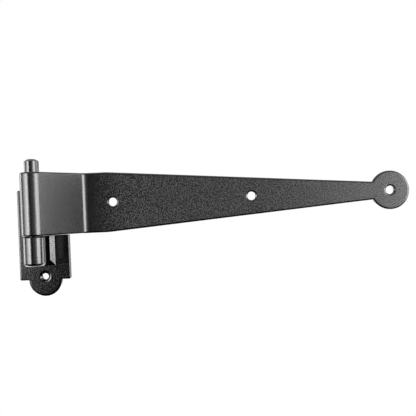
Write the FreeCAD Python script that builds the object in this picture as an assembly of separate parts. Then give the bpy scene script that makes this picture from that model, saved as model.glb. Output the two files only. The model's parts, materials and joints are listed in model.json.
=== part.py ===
"""Hook and band hinge: a cranked strap with a rolled eye that hangs on a pintle welded to a plate.

Lengths are in millimetres and angles in degrees. The origin is the centre of the mounting plate's
back face, so the wall is the plane y = 0. +X runs along the strap, -Y faces the viewer, and +Z is
up, along the pin. The strap is one blank of sheet: cut to its outline, cranked, and rolled into an
eye round the pin. The pintle is a plate, a standoff bar and a turned pin, welded together.
"""
import FreeCAD
import Part
import math
import os

# Pin and the eye that turns on it
PIN_DIAMETER = 9.5
PIN_STANDS_OUT = 8.7
PIN_LEAD_IN_HEIGHT = 1.3
PIN_LEAD_IN_WIDTH = 2.2
PIN_OFFSET = 25.0
EYE_CLEARANCE = 0.1
EYE_LIFT = 0.3

# Shoulder that the eye turns on
SHOULDER_LEDGE = 2.3
SHOULDER_LENGTH = 19.0
SHOULDER_TOP_Z = -0.6
SHOULDER_FOOT_ROUND = 1.9
SHOULDER_RIM_BREAK = 0.3

# Strap
STRAP_THICKNESS = 3.0
STRAP_WIDTH = 41.8
CRANK_ANGLE = 49.0
CRANK_RADIUS = 5.0
ROLL_MOUTH = 0.45
TAPER_START = 45.0
NECK_WIDTH = 12.6
PENNY_RADIUS = 13.5
STRAP_HOLE_DIAMETER = 6.4
STRAP_HOLE_COUNT = 3
FIRST_HOLE = 48.6
HOLE_PITCH = 96.2
STRAP_EDGE_BREAK = 0.35

# Mounting plate
PLATE_THICKNESS = 3.0
PLATE_WIDTH = 35.2
PLATE_HEIGHT = 62.4
PLATE_CORNER_ROUND = 0.8
PLATE_EDGE_BREAK = 0.35
TAB_RADIUS = 11.4
SCREW_HOLE_DIAMETER = 4.8
COUNTERSINK_DIAMETER = 8.0
COUNTERSINK_ANGLE = 90.0
SCREW_INSET = 2.4

# Standoff bar and the fillet weld round its foot
STANDOFF_WIDTH = 9.2
STANDOFF_HEIGHT = 16.2
STANDOFF_DROP = 0.6
STANDOFF_EDGE_ROUND = 0.5
SADDLE_DEPTH = 1.2
SADDLE_GAP = 0.05
WELD_RISE = 3.2
WELD_SIDE_LEG = 3.3
WELD_END_LEG = 4.4

# Sizes that follow from the ones above
PIN_RADIUS = PIN_DIAMETER / 2
SHOULDER_RADIUS = PIN_RADIUS + SHOULDER_LEDGE
EYE_BORE_RADIUS = PIN_RADIUS + EYE_CLEARANCE
EYE_RADIUS = EYE_BORE_RADIUS + STRAP_THICKNESS
EYE_BOTTOM_Z = SHOULDER_TOP_Z + EYE_LIFT
EYE_TOP_Z = EYE_BOTTOM_Z + STRAP_WIDTH
STRAP_MID_Z = (EYE_BOTTOM_Z + EYE_TOP_Z) / 2
PENNY_CENTRE_X = FIRST_HOLE + (STRAP_HOLE_COUNT - 1) * HOLE_PITCH

# Overshoot of a cutting tool past the faces that it cuts
OVERSHOOT = 1.0
UP = FreeCAD.Vector(0, 0, 1)
FORWARD = FreeCAD.Vector(0, -1, 0)
PIN_AXIS = FreeCAD.Vector(0, -PIN_OFFSET, 0)


def polar(centre, radius, degrees):
    """Point at an angle from +X towards +Y, on a circle in a plane of constant height."""
    angle = math.radians(degrees)
    return centre + FreeCAD.Vector(radius * math.cos(angle), radius * math.sin(angle), 0)


def arc(centre, radius, start, end):
    """Edge of the arc between two angles, in a plane of constant height."""
    middle = polar(centre, radius, (start + end) / 2)
    return Part.Arc(polar(centre, radius, start), middle, polar(centre, radius, end)).toShape()


def line(start, end):
    """Straight edge between two points."""
    return Part.LineSegment(start, end).toShape()


def edge_on_section():
    """Section of the strap seen from above: flat, crank, ramp and rolled eye, in the plane z = 0."""
    ramp_side = CRANK_ANGLE - 90
    crank_out = CRANK_RADIUS + STRAP_THICKNESS
    tail_gap = math.degrees(math.acos((EYE_BORE_RADIUS - ROLL_MOUTH) / EYE_RADIUS))
    tail = ramp_side - (360 - tail_gap)
    crank_y = -crank_out
    normal = polar(FreeCAD.Vector(), 1, ramp_side)
    reach = EYE_RADIUS + CRANK_RADIUS - (crank_y - PIN_AXIS.y) * normal.y
    crank = FreeCAD.Vector(reach / normal.x, crank_y, 0)
    flat_side = 90
    crank_side = ramp_side + 180
    end_x = PENNY_CENTRE_X + PENNY_RADIUS
    front_end = FreeCAD.Vector(end_x, -STRAP_THICKNESS, 0)
    back_end = FreeCAD.Vector(end_x, 0, 0)
    edges = [
        line(front_end, polar(crank, CRANK_RADIUS, flat_side)),
        arc(crank, CRANK_RADIUS, flat_side, crank_side),
        line(polar(crank, CRANK_RADIUS, crank_side), polar(PIN_AXIS, EYE_RADIUS, ramp_side)),
        arc(PIN_AXIS, EYE_RADIUS, ramp_side, tail),
        line(polar(PIN_AXIS, EYE_RADIUS, tail), polar(PIN_AXIS, EYE_BORE_RADIUS, tail)),
        arc(PIN_AXIS, EYE_BORE_RADIUS, tail, ramp_side),
        line(polar(PIN_AXIS, EYE_BORE_RADIUS, ramp_side), polar(crank, crank_out, crank_side)),
        arc(crank, crank_out, crank_side, flat_side),
        line(polar(crank, crank_out, flat_side), back_end),
        line(back_end, front_end),
    ]
    return Part.Face(Part.Wire(edges))


def face_on_outline():
    """Outline of the strap seen from the front: parallel, tapered to the neck, then the round end."""
    half_width = STRAP_WIDTH / 2
    half_neck = NECK_WIDTH / 2
    neck_x = PENNY_CENTRE_X - math.sqrt(PENNY_RADIUS ** 2 - half_neck ** 2)
    left_x = -EYE_RADIUS - OVERSHOOT
    front_y = -PIN_OFFSET - EYE_RADIUS - OVERSHOOT

    def point(x, rise):
        return FreeCAD.Vector(x, front_y, STRAP_MID_Z + rise)

    upper = [point(left_x, half_width), point(TAPER_START, half_width), point(neck_x, half_neck)]
    lower = [point(neck_x, -half_neck), point(TAPER_START, -half_width), point(left_x, -half_width)]
    end_x = PENNY_CENTRE_X + PENNY_RADIUS
    edges = [line(upper[0], upper[1]), line(upper[1], upper[2])]
    edges.append(Part.Arc(upper[2], point(end_x, 0), lower[0]).toShape())
    edges += [line(lower[0], lower[1]), line(lower[1], lower[2]), line(lower[2], upper[0])]
    return Part.Face(Part.Wire(edges))


def is_cut_face(face):
    """Whether a face of the strap was cut through the sheet: its outline and its holes."""
    if isinstance(face.Surface, Part.Plane):
        return abs(face.Surface.Axis.z) > abs(face.Surface.Axis.y)
    return abs(face.Surface.Axis.y) > abs(face.Surface.Axis.z)


def sheet_edges(solid):
    """Edges where the outline and the holes meet the sheet's two skins. The roll's end stays square."""
    found = []
    for edge in solid.Edges:
        sides = [is_cut_face(face) for face in solid.ancestorsOfType(edge, Part.Face)]
        if any(sides) and not all(sides) and edge.Length > STRAP_THICKNESS + STRAP_EDGE_BREAK:
            found.append(edge)
    return found


def make_strap():
    """The band: the folded section as wide as the blank, trimmed to the outline and drilled."""
    band = edge_on_section().extrude(UP * STRAP_WIDTH)
    band.translate(UP * EYE_BOTTOM_Z)
    depth = PIN_OFFSET + EYE_RADIUS + 2 * OVERSHOOT
    strap = band.common(face_on_outline().extrude(FORWARD * -depth))
    for index in range(STRAP_HOLE_COUNT):
        hole_x = FIRST_HOLE + index * HOLE_PITCH
        start = FreeCAD.Vector(hole_x, OVERSHOOT, STRAP_MID_Z)
        length = STRAP_THICKNESS + 2 * OVERSHOOT
        strap = strap.cut(Part.makeCylinder(STRAP_HOLE_DIAMETER / 2, length, start, FORWARD))
    strap = strap.Solids[0]
    return strap.makeChamfer(STRAP_EDGE_BREAK, sheet_edges(strap))


def make_pin():
    """Turned pin: the shoulder with a rounded foot below, and the pin with a conical lead-in above."""
    foot_z = SHOULDER_TOP_Z - SHOULDER_LENGTH
    end_z = EYE_TOP_Z + PIN_STANDS_OUT

    def point(radius, height):
        return PIN_AXIS + FreeCAD.Vector(radius, 0, height)

    foot_radius = SHOULDER_RADIUS - SHOULDER_FOOT_ROUND
    foot_rise = foot_z + SHOULDER_FOOT_ROUND
    diagonal = SHOULDER_FOOT_ROUND * math.sqrt(0.5)
    foot_middle = point(foot_radius + diagonal, foot_rise - diagonal)
    above_foot = [
        point(SHOULDER_RADIUS, foot_rise),
        point(SHOULDER_RADIUS, SHOULDER_TOP_Z - SHOULDER_RIM_BREAK),
        point(SHOULDER_RADIUS - SHOULDER_RIM_BREAK, SHOULDER_TOP_Z),
        point(PIN_RADIUS, SHOULDER_TOP_Z),
        point(PIN_RADIUS, end_z - PIN_LEAD_IN_HEIGHT),
        point(PIN_RADIUS - PIN_LEAD_IN_WIDTH, end_z),
        point(0, end_z),
        point(0, foot_z),
        point(foot_radius, foot_z),
    ]
    edges = [line(start, end) for start, end in zip(above_foot, above_foot[1:])]
    edges.append(Part.Arc(above_foot[-1], foot_middle, above_foot[0]).toShape())
    return Part.Face(Part.Wire(edges)).revolve(PIN_AXIS, UP, 360).Solids[0]


def make_plate():
    """Mounting plate with a half-round tab at each end and a countersunk screw hole through each."""
    corner = FreeCAD.Vector(-PLATE_WIDTH / 2, -PLATE_THICKNESS, -PLATE_HEIGHT / 2)
    plate = Part.makeBox(PLATE_WIDTH, PLATE_THICKNESS, PLATE_HEIGHT, corner)
    corners = [edge for edge in plate.Edges if edge.BoundBox.YLength > PLATE_THICKNESS / 2]
    plate = plate.makeFillet(PLATE_CORNER_ROUND, corners)
    for side in (1, -1):
        tab_centre = FreeCAD.Vector(0, 0, side * PLATE_HEIGHT / 2)
        plate = plate.fuse(Part.makeCylinder(TAB_RADIUS, PLATE_THICKNESS, tab_centre, FORWARD))
    plate = plate.removeSplitter().Solids[0]
    rim = [edge for edge in plate.Edges if edge.BoundBox.YMax < -PLATE_THICKNESS / 2]
    plate = plate.makeChamfer(PLATE_EDGE_BREAK, rim)
    for side in (1, -1):
        plate = plate.cut(screw_hole(side * (PLATE_HEIGHT / 2 - SCREW_INSET)))
    return plate.Solids[0]


def screw_hole(height):
    """Tool that drills one screw hole and countersinks it from the plate's front."""
    slope = math.tan(math.radians(COUNTERSINK_ANGLE / 2))
    sink_depth = (COUNTERSINK_DIAMETER - SCREW_HOLE_DIAMETER) / 2 / slope
    length = PLATE_THICKNESS + 2 * OVERSHOOT
    shank = Part.makeCylinder(
        SCREW_HOLE_DIAMETER / 2, length, FreeCAD.Vector(0, OVERSHOOT, height), FORWARD
    )
    throat = FreeCAD.Vector(0, sink_depth - PLATE_THICKNESS, height)
    mouth_radius = COUNTERSINK_DIAMETER / 2 + OVERSHOOT * slope
    sink = Part.makeCone(SCREW_HOLE_DIAMETER / 2, mouth_radius, sink_depth + OVERSHOOT, throat, FORWARD)
    return shank.fuse(sink)


def make_standoff_bar():
    """Bar that carries the pin off the plate, from the plate's face to the shoulder's back."""
    nose_y = -PIN_OFFSET + SHOULDER_RADIUS - SADDLE_DEPTH
    length = -PLATE_THICKNESS - nose_y
    foot_z = SHOULDER_TOP_Z - STANDOFF_DROP - STANDOFF_HEIGHT
    corner = FreeCAD.Vector(-STANDOFF_WIDTH / 2, nose_y, foot_z)
    bar = Part.makeBox(STANDOFF_WIDTH, length, STANDOFF_HEIGHT, corner)
    long_edges = [edge for edge in bar.Edges if edge.BoundBox.YLength > length / 2]
    return bar.makeFillet(STANDOFF_EDGE_ROUND, long_edges)


def make_standoff():
    """The bar, hollowed at its nose to seat the shoulder."""
    foot = PIN_AXIS + UP * (SHOULDER_TOP_Z - STANDOFF_DROP - STANDOFF_HEIGHT - OVERSHOOT)
    saddle = Part.makeCylinder(SHOULDER_RADIUS + SADDLE_GAP, STANDOFF_HEIGHT + 2 * OVERSHOOT, foot)
    return make_standoff_bar().cut(saddle).Solids[0]


def weld_section(depth, side_leg, end_leg):
    """Rectangle round the bar at a distance in front of the plate, wider than the bar by the weld's legs."""
    half_width = STANDOFF_WIDTH / 2 + side_leg
    top_z = SHOULDER_TOP_Z - STANDOFF_DROP + end_leg
    foot_z = SHOULDER_TOP_Z - STANDOFF_DROP - STANDOFF_HEIGHT - end_leg
    y = -PLATE_THICKNESS - depth
    corners = [
        FreeCAD.Vector(-half_width, y, foot_z),
        FreeCAD.Vector(half_width, y, foot_z),
        FreeCAD.Vector(half_width, y, top_z),
        FreeCAD.Vector(-half_width, y, top_z),
    ]
    return Part.makePolygon(corners + corners[:1])


def make_weld():
    """Fillet weld all round the bar's foot: a tapered collar from the plate up to the bar's sides."""
    collar = Part.makeLoft([weld_section(0, WELD_SIDE_LEG, WELD_END_LEG), weld_section(WELD_RISE, 0, 0)], True)
    return collar.cut(make_standoff_bar()).Solids[0]


def main():
    """Builds the pieces and writes each to its own file."""
    pieces = {
        "strap": make_strap(),
        "pintle_pin": make_pin(),
        "mounting_plate": make_plate(),
        "standoff": make_standoff(),
        "foot_weld": make_weld(),
    }
    os.makedirs("parts", exist_ok=True)
    for name, solid in pieces.items():
        solid.exportStep(f"parts/{name}.step")
        box = solid.BoundBox
        size = f"{box.XLength:.2f} x {box.YLength:.2f} x {box.ZLength:.2f} mm"
        print(f"{name}: valid {solid.isValid()}, {size}, {solid.Volume / 1000:.2f} cm3")


if __name__ == "__main__":
    main()
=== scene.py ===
"""Hook and band hinge in black powder coat, dressed on the frame of its solid model.

Lengths are in metres and angles in radians unless a name says otherwise. The wall is the plane y = 0,
the viewer is at -Y, +X runs along the strap and +Z runs up the pin.
"""
from __future__ import annotations

import json
import logging
import math
from dataclasses import dataclass, field
from enum import Enum
from typing import Any, Callable, Sequence, Union

import bmesh
import bpy
from mathutils import Matrix, Vector
from mathutils.geometry import delaunay_2d_cdt

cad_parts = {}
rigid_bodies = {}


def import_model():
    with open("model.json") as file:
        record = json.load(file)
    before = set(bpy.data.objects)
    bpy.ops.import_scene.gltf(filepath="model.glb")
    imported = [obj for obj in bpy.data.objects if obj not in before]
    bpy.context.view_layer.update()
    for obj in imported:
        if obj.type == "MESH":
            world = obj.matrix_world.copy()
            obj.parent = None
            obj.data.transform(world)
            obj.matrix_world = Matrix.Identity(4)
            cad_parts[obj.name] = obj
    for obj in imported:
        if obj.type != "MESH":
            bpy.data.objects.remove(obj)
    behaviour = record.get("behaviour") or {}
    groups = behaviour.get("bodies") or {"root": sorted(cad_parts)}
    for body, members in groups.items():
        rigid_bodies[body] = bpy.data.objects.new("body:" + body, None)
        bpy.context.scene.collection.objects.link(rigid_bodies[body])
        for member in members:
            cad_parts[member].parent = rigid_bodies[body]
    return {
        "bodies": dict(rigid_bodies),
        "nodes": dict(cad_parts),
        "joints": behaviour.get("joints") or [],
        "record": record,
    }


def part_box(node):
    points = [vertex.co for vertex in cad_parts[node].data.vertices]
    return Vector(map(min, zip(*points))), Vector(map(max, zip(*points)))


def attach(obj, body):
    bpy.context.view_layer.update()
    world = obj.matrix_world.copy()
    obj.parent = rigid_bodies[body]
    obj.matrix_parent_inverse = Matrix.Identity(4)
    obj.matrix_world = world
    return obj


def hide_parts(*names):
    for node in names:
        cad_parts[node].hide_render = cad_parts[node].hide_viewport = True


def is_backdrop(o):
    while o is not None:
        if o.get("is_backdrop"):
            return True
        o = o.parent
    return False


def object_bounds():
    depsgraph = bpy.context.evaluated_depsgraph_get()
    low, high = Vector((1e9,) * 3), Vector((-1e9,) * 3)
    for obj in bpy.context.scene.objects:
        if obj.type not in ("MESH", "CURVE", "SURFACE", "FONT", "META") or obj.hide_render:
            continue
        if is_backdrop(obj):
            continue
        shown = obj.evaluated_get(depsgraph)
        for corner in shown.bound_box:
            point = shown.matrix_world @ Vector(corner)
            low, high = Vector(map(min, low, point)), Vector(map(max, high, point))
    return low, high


LOG = logging.getLogger("hinge")
MM = 0.001
EDGE = "edge"
RUN = "run"
CROWN = "crown"
WHITE = (1.0, 1.0, 1.0, 1.0)
SHARP_ANGLE = math.radians(42)
FLATS_FIRST = 100
HOLE_STEPS = 72
SEAT_GAP = 0.05 * MM

# The Mix node's sockets for colours.
MIX_SHARE, MIX_FIRST, MIX_SECOND, MIX_RESULT = 0, 6, 7, 2

# A noise's strength from octave to octave, and the range that holds most of its values.
NOISE_GAIN = 0.55
NOISE_TOP = 0.66
NOISE_SPAN = 0.32

Point2 = tuple[float, float]
Key = Union[str, int]
Term = Union["Signal", float, Sequence[float]]
Place = Callable[[float, float, float], Vector]
Ring = Sequence[bmesh.types.BMVert]


class Body(Enum):
    """The two bodies that pieces ride on."""

    PINTLE = "pintle"
    STRAP = "strap"


class Toward(Enum):
    """The side that a sheet is bent to."""

    FRONT = -1.0
    BACK = 1.0


# ---- Node maths ----


class Signal:
    """A node's output, written with the usual operators for values, colours and vectors."""

    def __init__(self, graph: NodeGraph, socket: bpy.types.NodeSocket) -> None:
        """Keeps the output and the graph it belongs to."""
        self.graph = graph
        self.socket = socket

    def __add__(self, other: Term) -> Signal:
        """Sum."""
        return self.graph.combine("ADD", self, other)

    def __radd__(self, other: Term) -> Signal:
        """Sum, with the number first."""
        return self.graph.combine("ADD", other, self)

    def __sub__(self, other: Term) -> Signal:
        """Difference."""
        return self.graph.combine("SUBTRACT", self, other)

    def __rsub__(self, other: Term) -> Signal:
        """Difference, with the number first."""
        return self.graph.combine("SUBTRACT", other, self)

    def __mul__(self, other: Term) -> Signal:
        """Product."""
        return self.graph.combine("MULTIPLY", self, other)

    def __rmul__(self, other: Term) -> Signal:
        """Product, with the number first."""
        return self.graph.combine("MULTIPLY", other, self)

    def __truediv__(self, other: Term) -> Signal:
        """Quotient."""
        return self.graph.combine("DIVIDE", self, other)

    def __rtruediv__(self, other: Term) -> Signal:
        """Quotient, with the number first."""
        return self.graph.combine("DIVIDE", other, self)

    def least(self, other: Term) -> Signal:
        """The smaller of two values."""
        return self.graph.combine("MINIMUM", self, other)

    def most(self, other: Term) -> Signal:
        """The larger of two values."""
        return self.graph.combine("MAXIMUM", self, other)

    def sine(self) -> Signal:
        """Sine of an angle."""
        return self.graph.combine("SINE", self)

    def cosine(self) -> Signal:
        """Cosine of an angle."""
        return self.graph.combine("COSINE", self)

    def power(self, exponent: float) -> Signal:
        """This value raised to a power."""
        return self.graph.combine("POWER", self, exponent)

    def ramp(self, low: float, high: float) -> Signal:
        """Turns this value into a smooth rise from 0 to 1.

        Args:
            low: The value where the rise begins.
            high: The value where it ends.

        Returns:
            The rise.
        """
        settings = {"interpolation_type": "SMOOTHSTEP", "clamp": True}
        sockets = {"Value": self, "From Min": low, "From Max": high, "To Min": 0.0, "To Max": 1.0}
        return self.graph.out(self.graph.node("ShaderNodeMapRange", settings, sockets), "Result")

    def between(self, first: Term, second: Term) -> Signal:
        """Blends two colours, from the first at 0 to the second at 1."""
        return self.graph.mix("MIX", self, first, second)


class NodeGraph:
    """A shader, world or geometry node tree under construction."""

    def __init__(self, tree: bpy.types.NodeTree) -> None:
        """Keeps the tree that nodes are added to."""
        self.tree = tree

    def node(self, kind: str, settings: dict[str, Any] | None = None,
             sockets: dict[Key, Term] | None = None) -> bpy.types.Node:
        """Adds a node.

        Args:
            kind: The node's type name.
            settings: Properties of the node, set before its sockets are used.
            sockets: Inputs by name or index, each a signal to link or a plain value.

        Returns:
            The new node.
        """
        made = self.tree.nodes.new(kind)
        for name, value in (settings or {}).items():
            setattr(made, name, value)
        for key, value in (sockets or {}).items():
            if isinstance(value, Signal):
                self.tree.links.new(value.socket, made.inputs[key])
            else:
                made.inputs[key].default_value = value
        return made

    def out(self, node: bpy.types.Node, key: Key = 0) -> Signal:
        """The signal of one of a node's outputs."""
        return Signal(self, node.outputs[key])

    def mix(self, blend: str, share: Term, first: Term, second: Term) -> Signal:
        """Mixes two colours.

        Args:
            blend: How the second colour acts on the first.
            share: How far it does so, from 0 to 1.
            first: The first colour.
            second: The second colour.

        Returns:
            The mixed colour.
        """
        made = self.node("ShaderNodeMix", {"data_type": "RGBA", "blend_type": blend},
                         {MIX_SHARE: share, MIX_FIRST: first, MIX_SECOND: second})
        return self.out(made, MIX_RESULT)

    def combine(self, operation: str, *terms: Term) -> Signal:
        """Works out values with Math, vectors with Vector Math and colours with Mix.

        Args:
            operation: The name that the nodes share for the operation.
            *terms: Signals or numbers, in order.

        Returns:
            The result's signal.
        """
        kinds = {term.socket.type for term in terms if isinstance(term, Signal)}
        numbered = dict(enumerate(terms))
        if "RGBA" in kinds:
            return self.mix(operation, 1.0, *terms)
        kind = "ShaderNodeVectorMath" if "VECTOR" in kinds else "ShaderNodeMath"
        return self.out(self.node(kind, {"operation": operation}, numbered))

    def split(self, vector: Signal) -> tuple[Signal, Signal, Signal]:
        """The three parts of a vector."""
        parts = self.node("ShaderNodeSeparateXYZ", None, {0: vector})
        return self.out(parts, 0), self.out(parts, 1), self.out(parts, 2)


def fresh_graph(owner: Union[bpy.types.Material, bpy.types.World]) -> NodeGraph:
    """Empties the node tree of a material or world.

    Args:
        owner: The material or world.

    Returns:
        Its graph, to build on.
    """
    owner.use_nodes = True
    owner.node_tree.nodes.clear()
    return NodeGraph(owner.node_tree)


class GeometryTree(NodeGraph):
    """A geometry node tree with named inputs and one geometry output."""

    def __init__(self, name: str, numbers: Sequence[str], dressed: bool = False) -> None:
        """Makes the tree with its interface.

        Args:
            name: The tree's name.
            numbers: The names of its number inputs, in order.
            dressed: Whether it takes a material too.
        """
        super().__init__(bpy.data.node_groups.new(name, "GeometryNodeTree"))
        kinds = {"Geometry": "NodeSocketGeometry", **dict.fromkeys(numbers, "NodeSocketFloat")}
        if dressed:
            kinds["Material"] = "NodeSocketMaterial"
        face = self.tree.interface
        self.keys = {key: face.new_socket(key, in_out="INPUT", socket_type=kind).identifier
                     for key, kind in kinds.items()}
        face.new_socket("Geometry", in_out="OUTPUT", socket_type="NodeSocketGeometry")
        self.entry = self.node("NodeGroupInput")

    def given(self, name: str) -> Signal:
        """The signal of a named input."""
        return self.out(self.entry, name)

    def kept(self, name: str) -> Signal:
        """The signal of a value that is kept on the vertices."""
        settings = {"data_type": "FLOAT"}
        return self.out(self.node("GeometryNodeInputNamedAttribute", settings, {"Name": name}))

    def close(self, geometry: Signal) -> None:
        """Links the result to the output."""
        self.node("NodeGroupOutput", None, {0: geometry})

    def close_dressed(self, geometry: Signal) -> None:
        """Ends the tree in real, smooth geometry with the tree's material.

        Args:
            geometry: What the tree has made.
        """
        smooth = self.node("GeometryNodeSetShadeSmooth", None, {"Geometry": geometry})
        real = self.node("GeometryNodeRealizeInstances", None, {"Geometry": self.out(smooth)})
        dressed = self.node("GeometryNodeSetMaterial", None,
                            {"Geometry": self.out(real), "Material": self.given("Material")})
        self.close(self.out(dressed))

    def apply(self, piece: bpy.types.Object, values: dict[str, Any]) -> None:
        """Runs the tree on a piece and leaves a plain mesh.

        Args:
            piece: The object whose mesh goes through the tree.
            values: A value for each named input.
        """
        modifier = piece.modifiers.new(self.tree.name, "NODES")
        modifier.node_group = self.tree
        for name, value in values.items():
            modifier[self.keys[name]] = value
        settle(piece)


# ---- Mesh helpers ----


def settle(piece: bpy.types.Object) -> None:
    """Turns a piece with its modifiers into a plain mesh.

    Args:
        piece: The object, whose mesh is replaced.
    """
    graph = bpy.context.evaluated_depsgraph_get()
    made = bpy.data.meshes.new_from_object(piece.evaluated_get(graph), depsgraph=graph)
    piece.modifiers.clear()
    piece.data = made
    made.name = piece.name


def even_light(piece: bpy.types.Object) -> None:
    """Shades a piece smooth over its rounded edges, with its flats kept flat.

    Args:
        piece: The object to shade.
    """
    piece.data.shade_smooth()
    piece.data.set_sharp_from_angle(angle=SHARP_ANGLE)
    weighted = piece.modifiers.new("even_light", "WEIGHTED_NORMAL")
    weighted.keep_sharp = True
    weighted.weight = FLATS_FIRST
    settle(piece)


def soften(path: Sequence[tuple[float, float, float]], steps: int, closed: bool = False) -> list[Point2]:
    """Rounds the corners of a line.

    Args:
        path: Corners as (across, along, radius of rounding).
        steps: Segments of each rounding.
        closed: Whether the last corner joins the first.

    Returns:
        The points of the rounded line.
    """
    made: list[Point2] = []
    count = len(path)
    for index, (across, along, radius) in enumerate(path):
        inner = closed or 0 < index < count - 1
        if radius <= 0 or not inner:
            made.append((across, along))
            continue
        corner = Vector((across, along))
        before = (Vector(path[index - 1][:2]) - corner).normalized()
        after = (Vector(path[(index + 1) % count][:2]) - corner).normalized()
        half = before.angle(after) / 2
        reach = radius / math.tan(half)
        centre = corner + (before + after).normalized() * (radius / math.sin(half))
        start = corner + before * reach - centre
        sweep = math.pi - 2 * half
        if before.x * after.y - before.y * after.x > 0:
            sweep = -sweep
        for step in range(steps + 1):
            turn = sweep * step / steps
            made.append((centre.x + start.x * math.cos(turn) - start.y * math.sin(turn),
                         centre.y + start.x * math.sin(turn) + start.y * math.cos(turn)))
    return made


def round_of(centre: Point2, radius: float, start: float, sweep: float, steps: int) -> list[Point2]:
    """Points on an arc, both ends among them."""
    return [(centre[0] + radius * math.cos(start + sweep * step / steps),
             centre[1] + radius * math.sin(start + sweep * step / steps)) for step in range(steps + 1)]


def hole_line(centre: Point2, radius: float) -> list[Point2]:
    """A round hole's outline, which runs clockwise so that the material stays on its left."""
    return round_of(centre, radius, 0.0, -2 * math.pi, HOLE_STEPS)[:-1]


def edge_section(low: float, high: float, back: float, front: float, land: float,
                 steps: int) -> list[Point2]:
    """The rounded edge between two flat faces.

    Args:
        low: Height of the lower face.
        high: Height of the upper face.
        back: Radius of the rounding at the lower face.
        front: Radius of the rounding at the upper face.
        land: How far the section reaches over the faces, as a multiple of the front radius.
        steps: Segments of each rounding.

    Returns:
        Points as (inset into the material, height), from the lower face to the upper one.
    """
    flat = front * land
    return soften([(flat, low, 0), (0, low, back), (0, high, front), (flat, high, 0)], steps)


def bridge(mesh: bmesh.types.BMesh, ring: Ring, after: Ring) -> None:
    """Joins two closed rings with a band of faces.

    Args:
        mesh: The mesh to add to.
        ring: The vertices of the first ring.
        after: Those of the second ring, in the same order.
    """
    for index in range(len(ring)):
        step = (index + 1) % len(ring)
        mesh.faces.new((ring[index], ring[step], after[step], after[index]))


@dataclass
class Rim:
    """A closed outline with the material on its left, and the section of the edge along it.

    The section's points are (inset into the material, height). The first one ends the bottom cap and
    the last one ends the top cap. The swell, if any, has a factor for each point of the line, which
    makes the section's upper half broader there.
    """

    line: list[Point2]
    section: list[Point2]
    swell: Sequence[float] = ()

    def breadth(self, level: int, index: int) -> float:
        """How much broader than drawn the section is at one of its levels, at one point of the line."""
        upper = self.section[level][1] > self.section[-1][1] / 2
        return self.swell[index] if self.swell and upper else 1.0

    def mitres(self) -> list[Vector]:
        """Works out how far each point of the line moves for an inset of one.

        Returns:
            The moves, in the line's order.
        """
        made = []
        count = len(self.line)
        for index, point in enumerate(self.line):
            here = Vector(point)
            arriving = (here - Vector(self.line[index - 1])).normalized()
            leaving = (Vector(self.line[(index + 1) % count]) - here).normalized()
            left = Vector((-arriving.y, arriving.x)) + Vector((-leaving.y, leaving.x))
            made.append(left / (1 + arriving.dot(leaving)))
        return made

    def flat(self, level: int) -> list[Point2]:
        """Insets the line to one level of the section.

        Args:
            level: The index of the section's point.

        Returns:
            The points of the inset line.
        """
        made = []
        for index, (point, mitre) in enumerate(zip(self.line, self.mitres())):
            inset = self.section[level][0] * self.breadth(level, index)
            made.append((point[0] + inset * mitre.x, point[1] + inset * mitre.y))
        return made

    def rings(self, mesh: bmesh.types.BMesh, place: Place) -> list[Ring]:
        """Adds the edge's faces.

        Args:
            mesh: The mesh to add to.
            place: Turns (across, along, height) into a place in the frame.

        Returns:
            The rings of vertices, one for each point of the section.
        """
        rings = []
        edge = mesh.verts.layers.float[EDGE]
        last = len(self.section) - 1
        top = self.section[last][1]
        for level, (_, height) in enumerate(self.section):
            ring = []
            for index, (across, along) in enumerate(self.flat(level)):
                up = top - (top - height) * self.breadth(level, index)
                ring.append(mesh.verts.new(place(across, along, up)))
                ring[-1][edge] = float(0 < level < last)
            rings.append(ring)
        for lower, upper in zip(rings, rings[1:]):
            bridge(mesh, lower, upper)
        return rings


def sheet_mesh() -> bmesh.types.BMesh:
    """Starts a mesh that can say how far each place belongs to an edge.

    Returns:
        The empty mesh.
    """
    mesh = bmesh.new()
    mesh.verts.layers.float.new(EDGE)
    return mesh


def cap(mesh: bmesh.types.BMesh, loops: Sequence[Ring], flats: Sequence[Sequence[Point2]]) -> None:
    """Fills a flat outline and leaves its holes open.

    Args:
        mesh: The mesh to add to.
        loops: The outline's vertices, then those of each hole.
        flats: The same loops as flat points.
    """
    verts = [vert for loop in loops for vert in loop]
    owner = [number for number, loop in enumerate(loops) for _ in loop]
    points = [Vector(point) / MM for flat in flats for point in flat]
    edges: list[tuple[int, int]] = []
    for loop in loops:
        first = len(edges)
        edges += [(first + step, first + (step + 1) % len(loop)) for step in range(len(loop))]
    inside, tolerance = 1, 1e-6
    _, _, faces, origin, _, _ = delaunay_2d_cdt(points, edges, [], inside, tolerance)
    for face in faces:
        corners = [origin[corner][0] for corner in face]
        owners = {owner[corner] for corner in corners}
        if len(owners) > 1 or 0 in owners:
            mesh.faces.new([verts[corner] for corner in corners])


def place_object(name: str, data: bpy.types.ID) -> bpy.types.Object:
    """Puts a mesh, a light or a camera into the scene.

    Args:
        name: The object's name.
        data: What it shows.

    Returns:
        The new object.
    """
    made = bpy.data.objects.new(name, data)
    bpy.context.scene.collection.objects.link(made)
    return made


def piece_from(mesh: bmesh.types.BMesh, name: str) -> bpy.types.Object:
    """Makes an object of a finished mesh, with its faces turned outward.

    Args:
        mesh: The mesh, which is used up.
        name: The piece's name.

    Returns:
        The new object, in the scene.
    """
    bmesh.ops.recalc_face_normals(mesh, faces=mesh.faces[:])
    data = bpy.data.meshes.new(name)
    mesh.to_mesh(data)
    mesh.free()
    return place_object(name, data)


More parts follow.
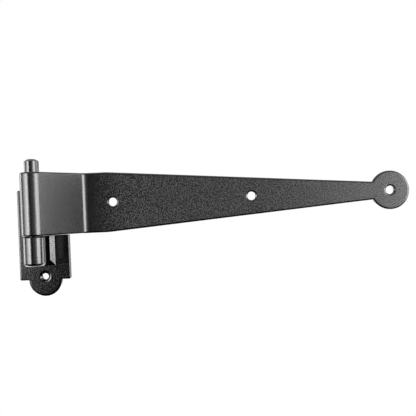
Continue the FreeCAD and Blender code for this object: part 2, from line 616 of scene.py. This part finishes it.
def slab(name: str, outline: Rim, holes: Sequence[Rim], place: Place) -> bpy.types.Object:
    """A flat-capped solid with a shaped edge and shaped holes.

    Args:
        name: The piece's name.
        outline: Its outer edge.
        holes: The edges of its holes.
        place: Turns (across, along, height) into a place in the frame.

    Returns:
        The new object.
    """
    mesh = sheet_mesh()
    rings = [rim.rings(mesh, place) for rim in (outline, *holes)]
    for level in (0, -1):
        cap(mesh, [ring[level] for ring in rings], [rim.flat(level) for rim in (outline, *holes)])
    return piece_from(mesh, name)


def from_front(across: float, along: float, height: float) -> Vector:
    """Lays an outline in the wall plane, with height towards the viewer."""
    return Vector((across, -height, along))


def from_above(across: float, along: float, height: float) -> Vector:
    """Lays an outline in plan, with height up."""
    return Vector((across, along, height))


def dress(piece: bpy.types.Object, coat: PowderCoat, body: Body, node: str) -> None:
    """Gives a piece its finish and its place in the frame.

    Args:
        piece: The finished mesh object.
        coat: Its finish.
        body: The body that it rides on.
        node: The solid that it stands for.
    """
    piece.data.materials.clear()
    piece.data.materials.append(coat.material())
    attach(piece, body.value)
    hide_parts(node)
    LOG.info("%s stands for %s on %s, %d faces", piece.name, node, body.value, len(piece.data.polygons))


# ---- Finish ----


@dataclass(frozen=True)
class PowderCoat:
    """Satin black powder coat with a fine, pebbled skin and matt specks in it.

    The specks grow from speck_least to their full strength along +X, from speck_start over speck_fade.
    Edges, where the coat flows out thin and smooth, have none. The specks' lighter tone is partly a random
    grain and partly painted light: its growth along +X makes the flats read brighter than the eye.
    """

    name: str
    shade: Sequence[float] = (0.0012, 0.0012, 0.0013)
    lighter: Sequence[float] = (0.0290, 0.0290, 0.0295)
    gloss: float = 0.17
    matt: float = 0.53
    share: float = 0.44
    speck_least: float = 1.0
    speck_start: float = 28 * MM
    speck_fade: float = 36 * MM
    speck_soft: float = 0.08
    speck: float = 0.78 * MM
    grain: float = 0.70 * MM
    pebble: float = 2.4 * MM
    cloud: float = 22 * MM
    cloud_strength: float = 0.05
    grain_height: float = 0.052 * MM
    pebble_height: float = 0.020 * MM
    ior: float = 1.80

    def material(self) -> bpy.types.Material:
        """The finish as a material, made once."""
        found = bpy.data.materials.get(self.name)
        return found or self.build()

    def build(self) -> bpy.types.Material:
        """Builds the shader.

        Returns:
            The new material.
        """
        made = bpy.data.materials.new(self.name)
        graph = fresh_graph(made)
        place = graph.out(graph.node("ShaderNodeTexCoord"), "Object")
        grain = self.noise(graph, place, self.grain, detail=1.0)
        pebble = self.noise(graph, place, self.pebble, detail=2.0)
        cloud = self.noise(graph, place, self.cloud, detail=3.0)
        along = graph.split(place)[0]
        middle = NOISE_TOP - NOISE_SPAN * self.share
        speck = self.noise(graph, place, self.speck, detail=1.0)
        speck = speck.ramp(middle - self.speck_soft, middle + self.speck_soft)
        # Painted light: the specks' lighter tone grows along +X, so the flats read brighter than the eye.
        speck_growth_painted_light = along.ramp(self.speck_start, self.speck_start + self.speck_fade)
        edge = graph.out(graph.node("ShaderNodeAttribute", {"attribute_name": EDGE}), "Fac")
        specks = speck * (self.speck_least + (1.0 - self.speck_least) * speck_growth_painted_light) * (1.0 - edge)
        tone = specks.between((*self.shade, 1.0), (*self.lighter, 1.0))
        rough = self.gloss + self.cloud_strength * (cloud - 0.5) + (self.matt - self.gloss) * specks
        height = pebble * self.pebble_height + grain * self.grain_height
        bump = graph.node("ShaderNodeBump", None, {"Strength": 1.0, "Distance": 1.0, "Height": height})
        shader = graph.node("ShaderNodeBsdfPrincipled", None, {
            "Base Color": tone, "Roughness": rough, "Normal": graph.out(bump), "IOR": self.ior})
        graph.node("ShaderNodeOutputMaterial", None, {"Surface": graph.out(shader)})
        return made

    @staticmethod
    def noise(graph: NodeGraph, place: Signal, size: float, detail: float) -> Signal:
        """A soft random pattern.

        Args:
            graph: The shader's graph.
            place: Where the pattern is read.
            size: The size of its features.
            detail: Its octaves of finer features.

        Returns:
            A value about 0.5.
        """
        sockets = {"Vector": place, "Scale": 1.0 / size, "Detail": detail, "Roughness": NOISE_GAIN}
        return graph.out(graph.node("ShaderNodeTexNoise", None, sockets), 0)


# ---- Strap ----


@dataclass
class StrapBand:
    """The band: one blank of sheet with a round end, drilled, cranked and rolled into an eye."""

    width: float
    mid_z: float
    tip_x: float
    axis: Vector
    thickness: float = 3.0 * MM
    eye_bore: float = 4.85 * MM
    crank: float = math.radians(49)
    crank_radius: float = 5.0 * MM
    roll_mouth: float = 0.45 * MM
    taper_start: float = 45.0 * MM
    neck: float = 12.6 * MM
    penny: float = 13.5 * MM
    hole_radius: float = 2.85 * MM
    first_hole: float = 48.6 * MM
    hole_count: int = 3
    edge: float = 1.20 * MM
    hole_edge: float = 1.20 * MM
    back_edge: float = 0.35 * MM
    edge_land: float = 1.3
    edge_steps: int = 6
    crank_steps: int = 20
    ramp_steps: int = 6
    roll_steps: int = 84
    penny_steps: int = 112
    taper_steps: int = 24

    @property
    def drop(self) -> float:
        """How far the centre of the crank's bend lies behind the pin's axis."""
        return -self.thickness - self.crank_radius - self.axis.y

    @property
    def crank_x(self) -> float:
        """Where the flat ends and the crank's bend begins."""
        reach = self.eye_bore + self.thickness + self.crank_radius
        return self.axis.x + (reach + self.drop * math.cos(self.crank)) / math.sin(self.crank)

    @property
    def ramp_length(self) -> float:
        """Length of the straight between the crank's bend and the eye."""
        return (self.crank_x - self.axis.x) * math.cos(self.crank) + self.drop * math.sin(self.crank)

    @property
    def roll_sweep(self) -> float:
        """How far the eye is rolled round, up to its mouth at the ramp."""
        gap = math.acos((self.eye_bore - self.roll_mouth) / (self.eye_bore + self.thickness))
        return 2 * math.pi - gap

    def stations(self) -> list[float]:
        """Finds where the flat blank is cut across, so that it can bend.

        Returns:
            Places along it, from the eye's end to the crank.
        """
        middle = self.thickness / 2
        bend = (self.crank_radius + middle) * self.crank
        roll = (self.eye_bore + middle) * self.roll_sweep
        ramp_end = self.crank_x - bend
        roll_end = ramp_end - self.ramp_length
        made = [roll_end - roll + roll * step / self.roll_steps for step in range(self.roll_steps + 1)]
        made += [roll_end + self.ramp_length * step / self.ramp_steps
                 for step in range(1, self.ramp_steps)]
        made += [ramp_end + bend * step / self.crank_steps for step in range(self.crank_steps + 1)]
        return made

    def sheet_section(self, edge: float) -> list[Point2]:
        """The rounded edge of the sheet, from its back to its front."""
        return edge_section(0.0, self.thickness, self.back_edge, edge, self.edge_land, self.edge_steps)

    def blank_line(self, stations: Sequence[float]) -> list[Point2]:
        """The blank's outline.

        Args:
            stations: The cuts across it, from the eye's end to the crank.

        Returns:
            Its points, from the eye's end along the lower edge and back along the upper one.
        """
        half = self.width / 2
        centre = self.tip_x - self.penny
        waist = math.pi - math.asin(self.neck / 2 / self.penny)
        end = round_of((centre, 0.0), self.penny, -waist, 2 * waist, self.penny_steps)
        run = end[0][0] - self.taper_start
        taper = [self.taper_start + run * step / self.taper_steps for step in range(self.taper_steps)]
        fall = (half - self.neck / 2) / run
        lower = [(place, -half) for place in stations]
        lower += [(place, -half + fall * (place - self.taper_start)) for place in taper]
        upper = [(place, -drop) for place, drop in reversed(lower)]
        return [(place, drop + self.mid_z) for place, drop in lower + end + upper]

    def blank(self) -> bpy.types.Object:
        """The flat blank, cut across where it will bend.

        Returns:
            The new object.
        """
        stations = self.stations()
        line = self.blank_line(stations)
        outline = Rim(line, self.sheet_section(self.edge))
        pitch = (self.tip_x - self.penny - self.first_hole) / (self.hole_count - 1)
        holes = [Rim(hole_line((self.first_hole + pitch * index, self.mid_z), self.hole_radius),
                     self.sheet_section(self.hole_edge)) for index in range(self.hole_count)]
        mesh = sheet_mesh()
        outer = outline.rings(mesh, from_front)
        inner = [hole.rings(mesh, from_front) for hole in holes]
        cuts = len(stations)
        for level in (0, -1):
            ring = outer[level]
            low, high = ring[:cuts], ring[-1:-cuts - 1:-1]
            for index in range(cuts - 1):
                mesh.faces.new((low[index], low[index + 1], high[index + 1], high[index]))
            blade = slice(cuts - 1, len(ring) - cuts + 1)
            cap(mesh, [ring[blade], *(hole[level] for hole in inner)],
                [outline.flat(level)[blade], *(hole.flat(level) for hole in holes)])
        return piece_from(mesh, "strap_band")

    @staticmethod
    def bend_tree() -> GeometryTree:
        """The tree that bends a sheet about an upright line and carries on straight behind the bend.

        Returns:
            The finished tree.
        """
        names = ("Start", "Radius", "Angle", "Toward", "Middle")
        tree = GeometryTree("bend_sheet", names)
        start, radius, angle, toward, middle = (tree.given(name) for name in names)
        x, y, z = tree.split(tree.out(tree.node("GeometryNodeInputPosition")))
        run = start - x
        taken = run.most(0.0).least(radius * angle)
        turn = taken / radius
        past = run - taken
        lever = radius - toward * (y - middle)
        new_x = start - lever * turn.sine() - past * turn.cosine()
        new_y = middle + toward * (radius - lever * turn.cosine() + past * turn.sine())
        place = tree.node("ShaderNodeCombineXYZ", None, {0: new_x, 1: new_y, 2: z})
        moved = tree.node("GeometryNodeSetPosition", None,
                          {"Geometry": tree.given("Geometry"), "Position": tree.out(place)})
        tree.close(tree.out(moved))
        return tree

    def fold_tree(self) -> GeometryTree:
        """The tree that rolls the eye and then cranks the blank.

        Returns:
            The finished tree.
        """
        tree = GeometryTree("fold_strap", (
            "Thickness", "Eye Bore", "Eye Sweep", "Ramp Length", "Crank Start", "Crank Radius",
            "Crank Angle"), dressed=True)
        bend = self.bend_tree().tree
        middle = tree.given("Thickness") * 0.5
        crank_radius = tree.given("Crank Radius") + middle
        eye_radius = tree.given("Eye Bore") + middle
        ramp_end = tree.given("Crank Start") - crank_radius * tree.given("Crank Angle")
        geometry = tree.given("Geometry")
        for start, radius, angle, toward in (
                (ramp_end - tree.given("Ramp Length"), eye_radius, tree.given("Eye Sweep"), Toward.BACK),
                (tree.given("Crank Start"), crank_radius, tree.given("Crank Angle"), Toward.FRONT)):
            step = tree.node("GeometryNodeGroup", {"node_tree": bend}, {
                "Geometry": geometry, "Start": start, "Radius": radius, "Angle": angle,
                "Toward": toward.value, "Middle": middle * -1.0})
            geometry = tree.out(step)
        tree.close_dressed(geometry)
        return tree

    def build(self, coat: PowderCoat) -> None:
        """Makes the strap.

        Args:
            coat: Its finish.
        """
        piece = self.blank()
        self.fold_tree().apply(piece, {
            "Thickness": self.thickness, "Eye Bore": self.eye_bore, "Eye Sweep": self.roll_sweep,
            "Ramp Length": self.ramp_length, "Crank Start": self.crank_x,
            "Crank Radius": self.crank_radius, "Crank Angle": self.crank, "Material": coat.material()})
        even_light(piece)
        dress(piece, coat, Body.STRAP, "strap")


# ---- Pintle ----


@dataclass
class PintlePin:
    """The turned pin with the shoulder that the eye turns on."""

    axis: Vector
    foot_z: float
    top_z: float
    radius: float
    ledge: float = 2.3 * MM
    ledge_z: float = -0.6 * MM
    foot_round: float = 1.9 * MM
    foot_land: float = 1.2 * MM
    rim_round: float = 0.80 * MM
    ledge_round: float = 0.15 * MM
    lead_in_height: float = 1.3 * MM
    lead_in_width: float = 2.2 * MM
    lead_in_round: float = 0.45 * MM
    top_round: float = 0.6 * MM
    top_land: float = 1.0 * MM
    edge_steps: int = 6
    circle_steps: int = 128

    def build(self, coat: PowderCoat) -> None:
        """Makes the pin.

        Args:
            coat: Its finish.
        """
        inner = self.ledge + self.lead_in_width
        section = soften([
            (self.foot_round + self.foot_land, self.foot_z, 0),
            (0, self.foot_z, self.foot_round),
            (0, self.ledge_z, self.rim_round),
            (self.ledge, self.ledge_z, self.ledge_round),
            (self.ledge, self.top_z - self.lead_in_height, self.lead_in_round),
            (inner, self.top_z, self.top_round),
            (inner + self.top_land, self.top_z, 0)], self.edge_steps)
        centre = (self.axis.x, self.axis.y)
        circle = round_of(centre, self.radius, 0.0, 2 * math.pi, self.circle_steps)[:-1]
        piece = slab("pin_and_shoulder", Rim(circle, section), [], from_above)
        even_light(piece)
        dress(piece, coat, Body.PINTLE, "pintle_pin")


@dataclass
class MountingPlate:
    """The wall plate: half-round tabs at its ends, with a countersunk hole near each."""

    half_width: float
    reach_z: float
    thickness: float
    tab: float = 11.4 * MM
    corner: float = 1.3 * MM
    edge: float = 1.00 * MM
    tab_edge: float = 1.70 * MM
    back_edge: float = 0.35 * MM
    edge_land: float = 1.2
    hole_z: float = 28.8 * MM
    hole_radius: float = 2.15 * MM
    sink_radius: float = 3.4 * MM
    sink_edge: float = 1.9 * MM
    sink_land: float = 0.6
    hole_edge: float = 0.18 * MM
    hole_land: float = 0.8 * MM
    corner_steps: int = 5
    edge_steps: int = 6
    tab_steps: int = 64

    @property
    def tab_z(self) -> float:
        """Where the upper tab's centre is, which is also where the straight sides end."""
        return self.reach_z - self.tab

    def outline(self) -> list[Point2]:
        """Draws the plate with its rounded corners and its tabs.

        Returns:
            The outline's points, from the lower left corner.
        """
        half, top = self.half_width, self.tab_z
        corners = ((-half, -top), (half, -top), (half, top), (-half, top))
        frame = soften([(*corner, self.corner) for corner in corners], self.corner_steps, closed=True)
        quarter = len(frame) // 4
        low = round_of((0.0, -top), self.tab, math.pi, math.pi, self.tab_steps)
        high = round_of((0.0, top), self.tab, 0.0, math.pi, self.tab_steps)
        return [*frame[:quarter], *low, *frame[quarter:3 * quarter], *high, *frame[3 * quarter:]]

    def swell(self, outline: Sequence[Point2]) -> list[float]:
        """How much broader the front edge is at each point of the outline: most at a tab's end."""
        growth = self.tab_edge / self.edge - 1
        return [1 + growth * math.sqrt(max(0.0, abs(along) - self.tab_z) / self.tab)
                for _, along in outline]

    def build(self, coat: PowderCoat) -> None:
        """Makes the plate.

        Args:
            coat: Its finish.
        """
        thick = self.thickness
        section = edge_section(0.0, thick, self.back_edge, self.edge, self.edge_land, self.edge_steps)
        sink = self.sink_radius - self.hole_radius
        hole = soften([
            (self.hole_land, 0, 0),
            (0, 0, self.hole_edge),
            (0, thick - sink, self.hole_edge),
            (sink, thick, self.sink_edge),
            (sink + self.sink_edge * self.sink_land, thick, 0)], self.edge_steps)
        holes = [Rim(hole_line((0.0, level * self.hole_z), self.hole_radius), hole) for level in (-1, 1)]
        outline = self.outline()
        piece = slab("wall_plate", Rim(outline, section, self.swell(outline)), holes, from_front)
        even_light(piece)
        dress(piece, coat, Body.PINTLE, "mounting_plate")


@dataclass
class StandoffBar:
    """The bar between plate and pin, hollowed at its nose to seat the shoulder."""

    low: Vector
    high: Vector
    axis: Vector
    seat_radius: float
    edge: float = 0.3 * MM
    edge_land: float = 1.1
    edge_steps: int = 4
    seat_steps: int = 24

    def build(self, coat: PowderCoat) -> None:
        """Makes the bar.

        Args:
            coat: Its finish.
        """
        rise = self.low.y - self.axis.y
        half_seat = math.sqrt(self.seat_radius ** 2 - rise ** 2)
        start = math.atan2(rise, -half_seat)
        sweep = math.pi - 2 * start
        seat = round_of((self.axis.x, self.axis.y), self.seat_radius, start, sweep, self.seat_steps)
        outline = [(self.low.x, self.low.y), *seat, (self.high.x, self.low.y),
                   (self.high.x, self.high.y), (self.low.x, self.high.y)]
        section = edge_section(self.low.z, self.high.z, self.edge, self.edge, self.edge_land,
                               self.edge_steps)
        piece = slab("standoff_bar", Rim(outline, section), [], from_above)
        even_light(piece)
        dress(piece, coat, Body.PINTLE, "standoff")


@dataclass
class FootWeld:
    """The fillet weld round the bar's foot, with the ripples of its run.

    Its back is sunk into the bar, by a share of the weld's breadth. The ripples lean over the crown and
    wander by the noise in uneven.
    """

    bar_low: Vector
    bar_high: Vector
    low: Vector
    high: Vector
    reach: float = 0.86
    rise: float = 0.75
    crown: float = 0.02 * MM
    ripple: float = 0.03 * MM
    pitch: float = 1.7 * MM
    lean: float = 1.6
    uneven: float = 5.0
    uneven_scale: float = 420.0
    uneven_detail: float = 1.0
    seed: float = 3.0
    sunk: float = 0.12
    sunk_rise: float = 0.98
    spacing: float = 0.4 * MM
    rows: int = 10

    def ring(self, spread: float, height: float) -> list[Vector]:
        """Points round the bar at one level of the weld.

        Args:
            spread: 0 at the bar's sides, 1 at the weld's toe on the plate.
            height: Distance in front of the plate.

        Returns:
            The points, at the same count on every level.
        """
        low, high = self.bar_low.lerp(self.low, spread), self.bar_high.lerp(self.high, spread)
        corners = [Vector((x, self.high.y - height, z))
                   for x, z in ((low.x, low.z), (high.x, low.z), (high.x, high.z), (low.x, high.z))]
        across = round((self.high.x - self.low.x) / self.spacing)
        along = round((self.high.z - self.low.z) / self.spacing)
        made = []
        for index, count in ((1, across), (2, along), (3, across), (0, along)):
            first, second = corners[index - 1], corners[index]
            made += [first.lerp(second, step / count) for step in range(count)]
        return made

    def collar(self) -> bpy.types.Object:
        """The plain collar, with the run along the weld and its crown kept on the vertices.

        Returns:
            The new object.
        """
        rise = (self.high.y - self.low.y) * self.rise
        levels = [((1 - row / self.rows) * self.reach, rise * row / self.rows,
                   math.sin(math.pi * row / self.rows)) for row in range(self.rows + 1)]
        levels += [(-self.sunk, rise * self.sunk_rise, 0.0), (-self.sunk, 0.0, 0.0)]
        mesh = bmesh.new()
        run_layer = mesh.verts.layers.float.new(RUN)
        crown_layer = mesh.verts.layers.float.new(CROWN)
        middle = self.ring(0.5, 0.0)
        rings = []
        for spread, height, crown in levels:
            ring = []
            run = 0.0
            for index, point in enumerate(self.ring(spread, height)):
                vert = mesh.verts.new(point)
                vert[run_layer] = run
                vert[crown_layer] = crown
                ring.append(vert)
                run += (middle[(index + 1) % len(middle)] - middle[index]).length
            rings.append(ring)
        for ring, after in zip(rings, rings[1:] + rings[:1]):
            bridge(mesh, ring, after)
        return piece_from(mesh, "foot_weld_run")

    def ripple_tree(self) -> GeometryTree:
        """The tree that crowns the weld and lays ripples along its run.

        Returns:
            The finished tree.
        """
        tree = GeometryTree("weld_run", ("Crown", "Ripple", "Pitch", "Seed"), dressed=True)
        run, crown = tree.kept(RUN), tree.kept(CROWN)
        place = tree.out(tree.node("GeometryNodeInputPosition"))
        uneven = tree.out(tree.node("ShaderNodeTexNoise", {"noise_dimensions": "4D"}, {
            "Vector": place, "W": tree.given("Seed"), "Scale": self.uneven_scale,
            "Detail": self.uneven_detail}))
        phase = run / tree.given("Pitch") * (2 * math.pi) + crown * self.lean + uneven * self.uneven
        lift = crown * (tree.given("Crown") + tree.given("Ripple") * phase.sine())
        normal = tree.out(tree.node("GeometryNodeInputNormal"))
        moved = tree.node("GeometryNodeSetPosition", None,
                          {"Geometry": tree.given("Geometry"), "Offset": normal * lift})
        tree.close_dressed(tree.out(moved))
        return tree

    def build(self, coat: PowderCoat) -> None:
        """Makes the weld.

        Args:
            coat: Its finish.
        """
        piece = self.collar()
        self.ripple_tree().apply(piece, {"Crown": self.crown, "Ripple": self.ripple, "Pitch": self.pitch,
                                         "Seed": self.seed, "Material": coat.material()})
        even_light(piece)
        dress(piece, coat, Body.PINTLE, "foot_weld")


# ---- Studio ----


@dataclass(frozen=True)
class SoftBox:
    """A soft box in the ring of lights round the object, which it faces unless it lies flat.

    Its sides are in degrees round the object, from the viewer towards the right, and it stands higher by
    the degrees in rise. One that lies flat shines straight up, so none of its light reaches the floor.
    """

    name: str
    start: float
    stop: float
    brightness: float
    height: float = 0.41
    rise: float = 3.9
    distance: float = 0.82
    flat: bool = False

    def build(self, target: Vector) -> None:
        """Hangs the light.

        Args:
            target: The place that it stands round and faces.
        """
        middle = math.radians((self.start + self.stop) / 2)
        rise = math.radians(self.rise)
        away = Vector((math.sin(middle) * math.cos(rise), -math.cos(middle) * math.cos(rise),
                       math.sin(rise)))
        data = bpy.data.lights.new(self.name, "AREA")
        data.shape = "RECTANGLE"
        data.size = 2 * self.distance * math.tan(math.radians(self.stop - self.start) / 2)
        data.size_y = self.height
        data.energy = self.brightness * math.pi * data.size * data.size_y
        lamp = place_object(self.name, data)
        lamp.location = target + away * self.distance
        back = Vector((0.0, 0.0, -1.0)) if self.flat else away
        lamp.rotation_euler = back.to_track_quat("Z", "Y").to_euler()
        lamp.visible_camera = False


@dataclass
class Studio:
    """White backdrop, pale floor, a ring of soft boxes and the camera.

    The backdrop's ramps are in parts of a unit direction: white_depth towards the back, sky_height
    upwards. The floor's fade is in parts of its radius.
    """

    floor_z: float = -0.30
    floor_radius: float = 1.1
    floor_steps: int = 96
    floor_tone: float = 0.82
    floor_glow: float = 0.55
    floor_fade: Point2 = (0.08, 0.40)
    sky: float = 0.2
    sky_height: Point2 = (0.30, 0.60)
    white_depth: Point2 = (0.10, 0.45)
    fill: float = 0.10
    ring: Vector = field(default_factory=lambda: Vector((0.06, -0.02, 0.01)))
    lamps: tuple[SoftBox, ...] = (
        SoftBox("rim_left", -120.0, -98.0, 3.4),
        SoftBox("left_far", -92.0, -77.0, 0.7),
        SoftBox("left_side", -77.0, -62.5, 2.6),
        SoftBox("left_middle", -62.5, -47.5, 6.0),
        SoftBox("left_near", -47.5, -31.5, 8.6),
        SoftBox("front_left", -31.5, -25.0, 2.2),
        SoftBox("front", -9.5, 1.0, 0.24),
        SoftBox("front_middle", 1.0, 20.0, 0.40),
        SoftBox("front_right", 20.0, 35.5, 1.2),
        SoftBox("right_edge", 35.5, 42.5, 5.75),
        SoftBox("right_near", 42.5, 57.5, 7.6),
        SoftBox("right_middle", 57.5, 72.5, 6.6),
        SoftBox("right_side", 72.5, 80.0, 2.6),
        SoftBox("right_far", 80.0, 95.0, 0.28),
        SoftBox("right_high", 77.0, 95.0, 2.0, height=0.34, rise=20.0),
        SoftBox("rim_right", 98.0, 120.0, 3.6),
        SoftBox("above", -35.0, 45.0, 1.0, height=0.45, rise=60.0),
        SoftBox("low_behind", 144.0, 216.0, 3.5, height=0.565, rise=-26.8, distance=0.451, flat=True),
    )
    eye: Vector = field(default_factory=lambda: Vector((0.113102, -0.405627, 0.009150)))
    yaw: float = math.radians(0.175)
    pitch: float = math.radians(0.624)
    roll: float = math.radians(2.510)
    lens: float = 50.354
    sensor: float = 36.0
    clip: float = 0.01

    @staticmethod
    def rays(graph: NodeGraph) -> tuple[Signal, Signal]:
        """Tells rays apart.

        Args:
            graph: The shader's graph.

        Returns:
            Whether a ray comes from the camera, and whether it comes off a shiny or clear surface.
        """
        path = graph.node("ShaderNodeLightPath")
        mirrored = graph.out(path, "Is Glossy Ray").most(graph.out(path, "Is Transmission Ray"))
        return graph.out(path, "Is Camera Ray"), mirrored

    def backdrop(self) -> None:
        """A room that looks white. Shiny surfaces see it white at the back, dim above and dark elsewhere."""
        world = bpy.data.worlds.new("studio")
        bpy.context.scene.world = world
        graph = fresh_graph(world)
        camera, mirrored = self.rays(graph)
        _, depth, height = graph.split(graph.out(graph.node("ShaderNodeTexCoord"), "Generated"))
        white = depth.ramp(*self.white_depth).most(self.sky * height.ramp(*self.sky_height))
        light = camera.most(mirrored * white).most((1.0 - mirrored) * self.fill)
        surface = graph.node("ShaderNodeBackground", None, {"Color": WHITE, "Strength": light})
        graph.node("ShaderNodeOutputWorld", None, {"Surface": graph.out(surface)})

    def floor(self, centre: Vector) -> None:
        """Lays a pale floor that fades into the white backdrop.

        Args:
            centre: The place that it lies below.
        """
        mesh = bmesh.new()
        bmesh.ops.create_circle(mesh, cap_ends=True, radius=self.floor_radius, segments=self.floor_steps,
                                matrix=Matrix.Translation((centre.x, centre.y, self.floor_z)))
        made = piece_from(mesh, "studio_floor")
        data = bpy.data.materials.new("pale_floor")
        graph = fresh_graph(data)
        camera, mirrored = self.rays(graph)
        x, y, _ = graph.split(graph.out(graph.node("ShaderNodeTexCoord"), "Object"))
        off = (x - centre.x) * (x - centre.x) + (y - centre.y) * (y - centre.y)
        near, far = (part * self.floor_radius for part in self.floor_fade)
        fade = self.floor_glow + (1.0 - self.floor_glow) * off.power(0.5).ramp(near, far)
        tone = (self.floor_tone, self.floor_tone, self.floor_tone, 1.0)
        paint = graph.node("ShaderNodeBsdfDiffuse", None, {"Color": tone})
        white = graph.node("ShaderNodeEmission", None, {"Color": WHITE, "Strength": 1.0})
        both = graph.node("ShaderNodeMixShader", None, {
            0: fade * camera.most(mirrored), 1: graph.out(paint), 2: graph.out(white)})
        graph.node("ShaderNodeOutputMaterial", None, {"Surface": graph.out(both)})
        made.data.materials.append(data)
        made.visible_glossy = False
        made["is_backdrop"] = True

    def camera(self) -> None:
        """Sets the camera up where the photograph was taken from."""
        forward = Vector((math.sin(self.yaw) * math.cos(self.pitch),
                          math.cos(self.yaw) * math.cos(self.pitch), math.sin(self.pitch)))
        level = Vector((math.cos(self.yaw), -math.sin(self.yaw), 0.0))
        upright = level.cross(forward)
        right = math.cos(self.roll) * level - math.sin(self.roll) * upright
        up = math.sin(self.roll) * level + math.cos(self.roll) * upright
        data = bpy.data.cameras.new("camera")
        data.lens = self.lens
        data.sensor_fit = "HORIZONTAL"
        data.sensor_width = self.sensor
        data.clip_start = self.clip
        made = place_object("camera", data)
        turn = Matrix((right, up, -forward)).transposed().to_4x4()
        made.matrix_world = Matrix.Translation(self.eye) @ turn
        bpy.context.scene.camera = made

    def build(self, centre: Vector) -> None:
        """Sets the whole studio up.

        Args:
            centre: The place that the floor lies below.
        """
        self.camera()
        self.backdrop()
        self.floor(centre)
        for lamp in self.lamps:
            lamp.build(self.ring)
        bpy.context.scene.view_settings.view_transform = "Standard"


def main() -> None:
    """Loads the frame, dresses each piece and sets the studio up."""
    logging.basicConfig(level=logging.INFO, format="%(name)s: %(message)s")
    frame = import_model()
    solid_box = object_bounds()
    axis = Vector(frame["joints"][0]["pos_m"])
    # Painted shade: the plate's coat and the pin's coat, which the weld shares, are darker copies of the
    # strap's, with a darker speck tone. The bar's coat hardly reflects the lamps.
    strap_coat = PowderCoat("powder_coat_strap", speck_least=0.10)
    plate_coat_painted_shade = PowderCoat("powder_coat_plate", share=0.15, matt=0.32, lighter=(0.006, 0.006, 0.0061))
    pin_coat_painted_shade = PowderCoat("powder_coat_pin", gloss=0.14, matt=0.26, lighter=(0.004, 0.004, 0.0041))
    bar_coat_painted_shade = PowderCoat("powder_coat_bar_painted_shade", gloss=0.60, matt=0.75, ior=1.03)
    strap_low, strap_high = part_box("strap")
    width, mid_z = strap_high.z - strap_low.z, (strap_low.z + strap_high.z) / 2
    StrapBand(width, mid_z, strap_high.x, axis).build(strap_coat)
    pin_low, pin_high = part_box("pintle_pin")
    shoulder = (pin_high.x - pin_low.x) / 2
    PintlePin(axis, pin_low.z, pin_high.z, shoulder).build(pin_coat_painted_shade)
    plate_low, plate_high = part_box("mounting_plate")
    MountingPlate(plate_high.x, plate_high.z, plate_high.y - plate_low.y).build(plate_coat_painted_shade)
    bar_low, bar_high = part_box("standoff")
    # Painted shade: the bar's coat hardly reflects, so its side stays black.
    StandoffBar(bar_low, bar_high, axis, shoulder + SEAT_GAP).build(bar_coat_painted_shade)
    weld_low, weld_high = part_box("foot_weld")
    FootWeld(bar_low, bar_high, weld_low, weld_high).build(pin_coat_painted_shade)
    Studio().build((Vector(solid_box[0]) + Vector(solid_box[1])) / 2)


if __name__ == "__main__":
    main()
